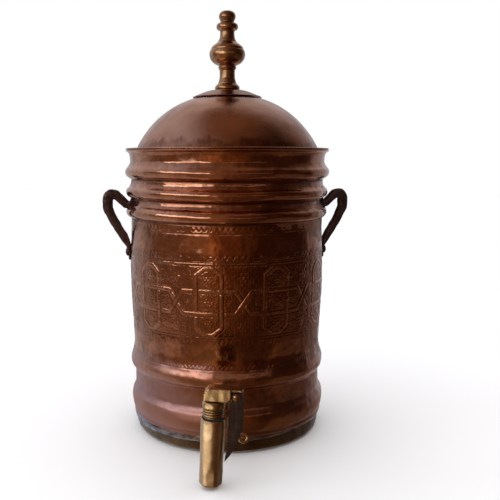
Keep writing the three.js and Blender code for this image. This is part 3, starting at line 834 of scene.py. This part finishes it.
def lid_pieces():
    foot = math.asin((305.4 - DOME_HEIGHT) / DOME_RADIUS)
    top = math.acos((30 - DOME_OFFSET) / DOME_RADIUS)
    arc = np.linspace(foot, top, 90)
    dome = np.stack([DOME_OFFSET + DOME_RADIUS * np.cos(arc), DOME_HEIGHT + DOME_RADIUS * np.sin(arc)], -1)
    flange = [
        (107.9, 303.95), (109, 304), (109.4, 304.5), (109.3, 305.2), (108.6, 305.45), (104, 305.35),
        (99.4, 305.25),
    ]
    crown = [(22, 361.6), (8, 366), (3.4, 366.4)]
    under = [(3.4, 365.2), (8, 364.8), (22, 360.3)]
    inward = SHEET * np.stack([np.cos(arc), np.sin(arc)], -1)
    below = (dome - inward)[::-3]
    section = np.concatenate([flange, dome, crown, under, below, [(96.6, 304), (103, 303.95)]])
    columns = 540
    angle = all_round(columns)
    radius = np.repeat(section[:, :1], columns, 1)
    level = np.repeat(section[:, 1:], columns, 1)
    outer = slice(len(flange), len(flange) + len(dome))
    round_lid = np.linspace(0, COLUMNS // 2, columns, endpoint=False).astype(int) * 2
    up_dome = np.linspace(0, 300, len(dome)).astype(int)

    def sheet(seed, size):
        return soft_noise(seed, size)[:, round_lid]

    dents = sheet(31, 26)[up_dome] * 0.12
    fine = sheet(32, 7)[up_dome] * 0.02
    order = np.arange(len(dome))
    fade = ease(0, 8, order) * ease(len(dome) + 2, len(dome) - 14, order)
    lift = (dents + fine) * fade[:, None]
    radius[outer] += lift * np.cos(arc)[:, None]
    level[outer] += lift * np.sin(arc)[:, None]
    rim_wave = 0.12 * np.sin(3 * angle + 1) + 0.08 * np.sin(7 * angle)
    level[:len(flange)] += np.clip(rim_wave, 0, 1)
    shell = grid_shell(turned(radius, angle, level))
    edge_height = 311 + 4 * sheet(35, 20)[10] + 2.5 * sheet(36, 5)[10]
    low = ease(1.5, -1.5, level - edge_height) * (level > 305.5)
    speckle = ease(-0.4, 0.4, sheet(33, 5)[:len(section)])
    smoky = ease(-0.1, 0.8, sheet(34, 34)[:len(section)])
    tarnish = np.clip(low * (0.3 + 0.4 * speckle) + smoky * 0.3, 0, 1)
    piece(
        "lid_dome_skin", moved(shell, at_axis()), "lid", lid_copper, ["lid_dome"],
        {"tarnish": tarnish},
    )
    skirt = rounded([(100.4, 286), (101.5, 286), (101.6, 303.6), (100.4, 303.6)], 0.4)
    shell = moved(revolved(skirt, 360, wobble=0.1, seed=6), at_axis())
    piece("lid_skirt_ring", shell, "lid", lid_copper, ["lid_skirt"])
    plate = [
        (3.3, 366.9), (8, 366.7), (22, 362.9), (33, 360.3), (36.6, 359.2), (37.2, 359.5), (36.9, 360.1),
        (34.4, 361.1), (31.3, 362.3), (26.6, 364.3), (23.5, 365.4), (20.6, 366.3), (16, 367.3),
        (13, 367.9), (3.3, 367.9),
    ]
    shell = revolved(dense(rounded(plate, 0.35, 3), 1.5), 240, wobble=0.15, seed=7)
    dull = {"tarnish": np.full(len(shell[0]), 0.45)}
    piece("finial_plate", moved(shell, at_axis()), "lid", lid_copper, ["lid_cap"], dull)
    turned_knots = [
        (13.2, 368.2), (13.4, 369.6), (13.1, 371.2), (11.8, 372.6), (11.3, 373.2), (10.6, 373.9),
        (9.9, 374.2), (9.9, 375.2), (9.3, 376), (8.9, 378), (8.3, 380), (8.15, 384), (8.2, 388.2),
        (8.9, 389.3), (9.6, 390.4), (9.6, 391.6), (9, 392.4), (9.9, 393.4), (12.8, 394.6),
        (15.4, 396.4), (17.2, 398.4), (18.4, 400.6), (19.1, 403.2), (19.2, 405.6), (18.7, 408.2),
        (18, 409.4), (17.2, 409.7), (17.3, 410.6), (17, 411.8), (15.4, 413.7), (14.6, 414.5),
        (13.9, 414.7), (12.6, 415.9), (11.2, 416.7), (10.5, 417.5), (9.7, 418.2), (9.5, 419.2),
        (8.7, 420.2), (8.1, 422), (7.7, 424.5), (7.6, 428.4), (8.2, 429.6), (10.4, 430.4), (11.4, 431.8),
        (11.6, 433.6), (11.2, 435.6), (9.8, 436.8), (7.8, 437.6), (7.2, 438.8), (7.3, 439.6),
        (8.2, 441), (8.9, 443.2), (8.9, 445), (8.2, 447), (6.6, 448.8), (4.2, 449.8), (2, 450.1),
    ]
    outer = rounded(turned_knots, 0.45, 3, closed=False)
    socket = [(3.3, 387.8), (3.3, 368.2)]
    section = np.concatenate([[(0.3, 387.8)], socket, dense(outer, 0.6), [(0.4, 450.15)]])
    columns = 120
    shell = moved(revolved(section, columns, closed=False), at_axis())
    grooves = np.repeat(np.interp(section[:, 0], [7, 9, 12], [0.25, 0.15, 0]), columns)
    cut = np.concatenate([grooves, [0, 0]])
    piece("finial_turned", shell, "lid", brass, ["finial"], {"cut": cut})


# --- handles ---
def swept(route, widths, depths, sides=20):
    """A bar along a route in the XZ plane, with its own width and depth at each point."""
    route = np.asarray(route, float)
    steps = np.linspace(0, len(route) - 1, 70)
    index = np.arange(len(route))
    line_x = curve_through(list(zip(index, route[:, 0])), steps)
    line_z = curve_through(list(zip(index, route[:, 1])), steps)
    ahead = np.stack([np.gradient(line_x), np.gradient(line_z)], -1)
    ahead /= np.linalg.norm(ahead, axis=1)[:, None]
    side = np.stack([-ahead[:, 1], ahead[:, 0]], -1)
    width = np.interp(steps, index, widths)[:, None]
    depth = np.interp(steps, index, depths)[:, None]
    t = all_round(sides)
    across = np.sign(np.cos(t)) * np.abs(np.cos(t)) ** 0.75
    deep = np.sign(np.sin(t)) * np.abs(np.sin(t)) ** 0.75
    x = line_x[:, None] + side[:, :1] * across * width / 2
    z = line_z[:, None] + side[:, 1:] * across * width / 2
    return grid_shell(np.stack([x, deep * depth / 2, z], -1), closed=False)


def rounded_box(low, high, radius=1.0):
    """A slab with rounded edges between two corners."""
    low, high = np.array(low, float), np.array(high, float)
    middle, half = (low + high) / 2, (high - low) / 2
    levels = np.array([-1, -0.97, -0.85, 0.85, 0.97, 1])
    insets = np.array([1, 0.5, 0, 0, 0.5, 1]) * radius
    sides = 48
    t = all_round(sides)
    c, s = np.cos(t), np.sin(t)
    rows = []
    for level, inset in zip(levels, insets):
        a, b = half[1] - inset, half[2] - inset
        y = np.sign(c) * np.abs(c) ** 0.35 * a
        z = np.sign(s) * np.abs(s) ** 0.35 * b
        rows.append(np.stack([np.full(sides, level * half[0]), y, z], -1) + middle)
    return grid_shell(np.stack(rows), closed=False)


def wrapped(shell):
    """Bends a shell built flat along X at angle 0 so that its sides follow the vessel's round wall."""
    points = shell[0].copy()
    angle = points[:, 1] / points[:, 0]
    radius = points[:, 0]
    points[:, 0], points[:, 1] = radius * np.cos(angle), radius * np.sin(angle)
    return points, shell[1]


EAR_TURNS = {"right": 11, "left": 191}  # both ears sit a little further round than square to the tap
HANDLE_ROUTE = [
    (103.6, 248.6), (105.8, 247.6), (109, 245), (113.2, 248.6), (117.6, 253), (121.6, 256.2),
    (126.2, 256.6), (129.6, 251.6), (129.7, 243.2), (125.6, 232.4), (119.2, 220.6), (113.2, 210.6),
    (109.6, 203.6), (107.7, 198.4), (107, 192), (106.9, 185.4),
]
HANDLE_WIDTH = [3.4, 3.6, 8.8, 9.4, 9.8, 10.2, 10.6, 11.2, 11.2, 10, 9.6, 9.2, 7.4, 4.4, 3.2, 3.0]
HANDLE_DEPTH = [11, 10, 9, 8.8, 8.8, 8.8, 8.8, 8.8, 8.8, 8.8, 9, 9.4, 10.6, 12, 13, 11]
# Name, degrees round from the ear's middle, height, radius of the face below the head, size of the head.
EAR_RIVETS = (
    ("front", -5.4, 249.6, 104.1, 0.62), ("back", 5.4, 249.6, 104.1, 0.62), ("tail", 0, 194.0, 108.4, 1.0)
)


def rivet_shell(size, seed):
    """A domed head with its pin, its face at the origin, pointing along +Z."""
    dome = [(0, 0.2), (4.6, 0), (4.8, 0.6), (4.4, 1.6), (3.5, 2.5), (2, 3.1), (0.6, 3.3)]
    dome = dense(rounded([(r * size, h * size) for r, h in dome], 0.3, 3, closed=False), 0.8)
    head = revolved(dome, 28, closed=False, wobble=0.12, seed=seed)
    pin = [(0.3, -9.6), (3.9, -9.2), (4.2, -8.2), (2.6, -7.8), (2.6, 0.4), (0.3, 0.5)]
    return joined(head, revolved(pin, 20, closed=False))


def handle_pieces():
    """The two ears, each fused to its root plate, and their rivets."""
    for seed, (name, turn) in enumerate(EAR_TURNS.items(), 41):
        bar = swept(HANDLE_ROUTE, HANDLE_WIDTH, HANDLE_DEPTH)
        root = wrapped(rounded_box((102.8, -12.2, 247.0), (104.2, 12.2, 252.0), 0.6))
        shell = moved(joined(bar, root), at_axis(0, turn))
        made = piece(f"ear_{name}", shell, "vessel", iron, [f"handle_{name}"])
        fused(made, 0.7, 3)
        dress_forging(made, seed)
        for place, angle, height, face, size in EAR_RIVETS:
            outward_x = Matrix.Translation((face, 0, height)) @ Matrix.Rotation(math.pi / 2, 4, "Y")
            rivet = moved(rivet_shell(size, seed), outward_x, at_axis(0, turn + angle))
            piece(f"rivet_head_{name}_{place}", rivet, "vessel", iron, [f"rivet_{name}_{place}"])


def dress_forging(made, seed, depth=0.045):
    """Soft hammer facets on a forged piece."""
    mesh = made.data
    co, normal = np.zeros((2, len(mesh.vertices), 3), np.float32)
    mesh.vertices.foreach_get("co", co.ravel())
    mesh.vertices.foreach_get("normal", normal.ravel())
    co = co / MM
    draw = np.random.default_rng(seed)
    wave = 0
    for _ in range(10):
        direction = draw.standard_normal(3)
        direction /= np.linalg.norm(direction)
        wave = wave + np.sin(co @ direction * draw.uniform(0.45, 1.1) + draw.uniform(0, 6))
    co = co + normal * (wave * depth)[:, None]
    mesh.vertices.foreach_set("co", (co * MM).astype(np.float32).ravel())
    mesh.update()


# --- tap ---
joint = next(j for j in frame["joints"] if j["name"] == "tap_turn")
TAP_UP = -Vector(joint["axis"])
TAP_PLACE = Vector(joint["pos_m"]) / MM


def tap_matrix():
    """From the tap's own axes, with the nozzle's axis as Z and the shank at height 0, to the urn's."""
    roll = math.atan2(TAP_UP.x, TAP_UP.z)
    return Matrix.Translation(TAP_PLACE) @ Matrix.Rotation(roll, 4, "Y")


def along_y(shell):
    """Turns a shell made about Z so that it runs along +Y from the nozzle to the wall."""
    return moved(shell, Matrix.Rotation(-math.pi / 2, 4, "X"))


def outline_slab(points, front, back, bevel=0.6):
    """A plate with a shaped outline (x, z) between two depths, its edges bevelled."""
    edge = rounded(points, 0.8, 4)
    centre = edge.mean(0)
    rows = []
    for y, inset in (
        (front + 0.01, bevel * 1.6), (front, bevel), (front + bevel, 0), (back - bevel, 0), (back, bevel)
    ):
        ring = centre + (edge - centre) * (1 - inset / np.linalg.norm(edge - centre, axis=1))[:, None]
        rows.append(np.stack([ring[:, 0], np.full(len(ring), y), ring[:, 1]], -1))
    return grid_shell(np.stack(rows), closed=False)


def nozzle_shell():
    """The nozzle: a round pipe that tapers to a six-sided foot, open below."""
    height = np.concatenate([np.linspace(8.5, -36, 60), np.linspace(-36.8, -52, 24), [-53.2, -53.9]])
    taper = [(8.5, 11), (4, 11.3), (-8, 11.15), (-20, 10.8), (-36, 10.45), (-54, 10.2)]
    outer = curve_through(taper, height)
    outer[-2:] -= [0.5, 1.5]
    angle = all_round(96)
    flat_share = ease(-34, -41, height)[:, None]
    sides = 6
    phase = (angle + math.pi / sides) % (2 * math.pi / sides) - math.pi / sides
    hexagon = np.minimum(0.955 / np.cos(phase), 1.02)
    radius = outer[:, None] * (1 + (hexagon[None] - 1) * flat_share)
    outside = turned(radius, angle, height[:, None])
    bore = dense([(8.2, -54), (6.2, -52.6), (6, -50), (6, 6), (7.4, 8.5)], 4)
    return grid_shell(np.concatenate([outside, turned(bore[:, :1], angle, bore[:, 1:])]))


def tap_pieces():
    """What stays still: the casting, the rubber ring and the threaded bonnet; then what turns."""
    place = tap_matrix()
    arm = along_y(revolved(dense([
        (0.4, 7.6), (7.2, 7.6), (7.2, 40), (7.6, 44), (8.4, 50), (9.4, 53.4), (9.6, 55.6), (8.4, 57.2),
        (8.6, 60.4), (11.2, 62.6), (11.4, 66.2), (8.2, 66.4), (8.2, 82), (5, 82.2), (0.4, 82.2),
    ], 2), 64, closed=False))
    lug = moved(rounded_box((-2.2, -1.8, -3.4), (2.2, 1.8, 8.0), 0.8), Matrix.Translation((12.0, 3.6, 0.6)))
    shell = moved(joined(nozzle_shell(), arm, lug), place)
    made = piece("tap_casting", shell, "vessel", pale_brass, ["tap_body"])
    fused(made, 0.5, 3)
    dress_forging(made, 51, 0.012)
    seal = rounded([(7.4, 8.7), (10, 8.7), (10.2, 9.3), (10, 9.95), (7.4, 9.95)], 0.2)
    piece("bonnet_ring", moved(revolved(seal, 64), place), "vessel", rubber, ["bonnet_seal"])
    columns = 96
    angle = all_round(columns)
    rows = np.linspace(10.2, 18.4, 60)[:, None]
    pitch = 2.3
    turn_share = angle / (2 * np.pi)
    crest = np.abs(((rows - pitch * turn_share) / pitch) % 1 - 0.5) * 2
    thread = 8.9 + 1.05 * ease(0.1, 0.8, 1 - crest)
    thread = thread * (1 - 0.04 * ease(1.2, 0, rows - 10.2))
    cap = [(10.2, 18.6), (10.5, 19.6), (10.5, 23.2), (9.4, 24.6), (6.2, 24.9), (3.7, 24.9)]
    cap = dense(rounded(cap, 0.6, 4, closed=False), 0.8)
    section = np.concatenate([cap, [(3.7, 7), (7, 7), (7, 10.1)]])
    points = np.concatenate([turned(thread, angle, rows), turned(section[:, :1], angle, section[:, 1:])])
    shell = moved(grid_shell(points), place)
    in_thread = (0.75 * ease(9.7, 9.0, thread)).ravel()
    cut = np.concatenate([in_thread, np.zeros(len(section) * columns)])
    piece("bonnet_threaded", shell, "vessel", block_brass, ["tap_bonnet"], {"cut": cut})
    head_pieces(place)


def head_pieces(place):
    """What turns: the block on the spindle, the lever and its screw."""
    side = [(-9, 25.8), (-9, 32.8), (-4.6, 37.5), (15.4, 37.5), (15.6, 28.4), (12.6, 25.4), (-7.6, 25.3)]
    block = outline_slab(side, -7.4, 7.0, 0.7)
    lug = outline_slab([(13.6, 25.4), (13.6, 36.6), (25.8, 36.6), (25.8, 25.4)], -3.0, 7.0, 0.7)
    brow = outline_slab([(14.6, 34.8), (14.6, 37.3), (25.2, 37), (25.2, 34.8)], -6.0, -1.0, 0.5)
    shell = moved(joined(block, lug, brow), place)
    made = piece("tap_block", shell, "tap_handle", block_brass, ["tap_head"])
    fused(made, 0.4, 2)
    dress_forging(made, 52, 0.02)
    blade = [
        (16.2, 34), (24.4, 34), (26.2, 31), (26.6, 24), (27.1, 12), (26.9, 2), (24.2, -7),
        (20.9, -15.2), (16.9, -22.8), (11.9, -29.2), (12.4, -24), (14.2, -18), (14.4, -12), (13.6, -4),
        (14, 8), (14.6, 18), (14.8, 24.4), (16.2, 26.2),
    ]
    shell = moved(lever_blade(blade), place)
    # The lever's iron is darkened with painted shade.
    piece("lever_blade", shell, "tap_handle", lever_iron, ["tap_lever"])
    screw_x, screw_z, face = 19.9, 30.3, -5.9
    to_front = Matrix.Translation((screw_x, face, screw_z)) @ Matrix.Rotation(math.pi / 2, 4, "X")
    washer = rounded([(2.2, 0), (3.9, 0), (3.9, 0.8), (2.2, 0.8)], 0.25)
    shell = moved(revolved(washer, 40), to_front, place)
    piece("lever_washer_ring", shell, "tap_handle", iron, ["lever_washer"])
    dome = [
        (0.3, -8.4), (1.9, -8.2), (1.9, 0.8), (3.1, 0.9), (3.2, 1.3), (2.8, 2.2), (1.8, 2.9), (0.4, 3.2)
    ]
    screw = revolved(dense(rounded(dome, 0.25, 3, closed=False), 0.6), 40, closed=False)
    shell = moved(screw, to_front, place)
    piece("lever_screw_head", shell, "tap_handle", brass, ["lever_screw"])


def lever_blade(outline):
    """The lever: a forged blade, thickest along its middle, curling forward at its tip."""
    edge = rounded(outline, 1.0, 4)
    edge = dense(np.concatenate([edge, edge[:1]]), 0.8)[:-1]
    spine_x = np.interp(edge[:, 1], [-29.2, -12, 0, 34], [12.2, 18.4, 20.4, 20.4])
    spine = np.stack([spine_x, np.clip(edge[:, 1], -27.5, 31.0)], -1)
    rings = []
    for share_in, depth in ((0, 0.9), (0.04, 1.12), (0.12, 1.25), (0.45, 1.45), (0.8, 1.55)):
        rings.append((edge + (spine - edge) * share_in, depth))
    front = [(ring, -depth) for ring, depth in reversed(rings)]
    layers = []
    for ring, depth in front + rings:
        curl = -0.01 * np.clip(-4 - ring[:, 1], 0, 40) ** 1.6
        layers.append(np.stack([ring[:, 0], np.full(len(ring), depth - 4.2) + curl, ring[:, 1]], -1))
    return grid_shell(np.stack(layers), closed=False)


EYE_TURN, EYE_HEIGHT, EYE_FACE = 13.2, 18.8, 103.3


def eyelet_piece():
    """The small brass eye in the foot, right of the tap."""
    ring = []
    for t in all_round(14):
        ring.append((4.25 + 1.7 * math.cos(t), 1.3 + 1.15 * math.sin(t)))
    eye = revolved(ring, 48, wobble=0.12, seed=8)
    pin = revolved([(0.3, -0.3), (2.9, -0.3), (2.9, 0.5), (1.6, 0.9), (0.3, 1)], 32, closed=False)
    facing = Matrix.Translation((0, -EYE_FACE, EYE_HEIGHT)) @ Matrix.Rotation(math.pi / 2, 4, "X")
    shell = moved(joined(eye, pin), facing, at_axis(0, EYE_TURN))
    piece("foot_eye", shell, "vessel", pale_brass, ["foot_eyelet"])


# --- the rest of the frame ---
SLOT_MATERIALS = {
    "copper_body": copper, "copper_lid": lid_copper, "tinned_base": pan_metal, "solder": solder_metal,
    "brass": brass, "iron": iron, "rubber": rubber,
}


def dress_frame():
    """The material of its slot on every CAD node; those without a coded piece are shown with it."""
    for part in frame["record"]["subparts"]:
        shown = frame["nodes"][part["node"]]
        shown.data.materials.clear()
        shown.data.materials.append(SLOT_MATERIALS[part["material_slot"]])


make_camera()
make_studio()
make_floor()
body_piece()
base_pieces()
lid_pieces()
handle_pieces()
tap_pieces()
eyelet_piece()
dress_frame()

area_light(
    "left_window", turn=-45, lift=18.6, width=1.8, height=0.52, power=4.8, colour=(1.0, 0.96, 0.94), roll=-9
)
area_light("window_spill", turn=24, lift=13, width=1.5, height=0.1, power=0.13, colour=(1.0, 0.8, 0.6))
glint = area_light(
    "tap_light", turn=-46, lift=-24, width=2.4, height=0.36, power=4.0, colour=(1.0, 0.94, 0.86)
)
glint.light_linking.receiver_collection = bpy.data.collections.new("lit_tap")
for name in ("tap_casting", "bonnet_threaded", "tap_block", "foot_eye"):
    glint.light_linking.receiver_collection.objects.link(bpy.data.objects[name])
make_floor_light()

bpy.context.scene.view_settings.view_transform = "Standard"
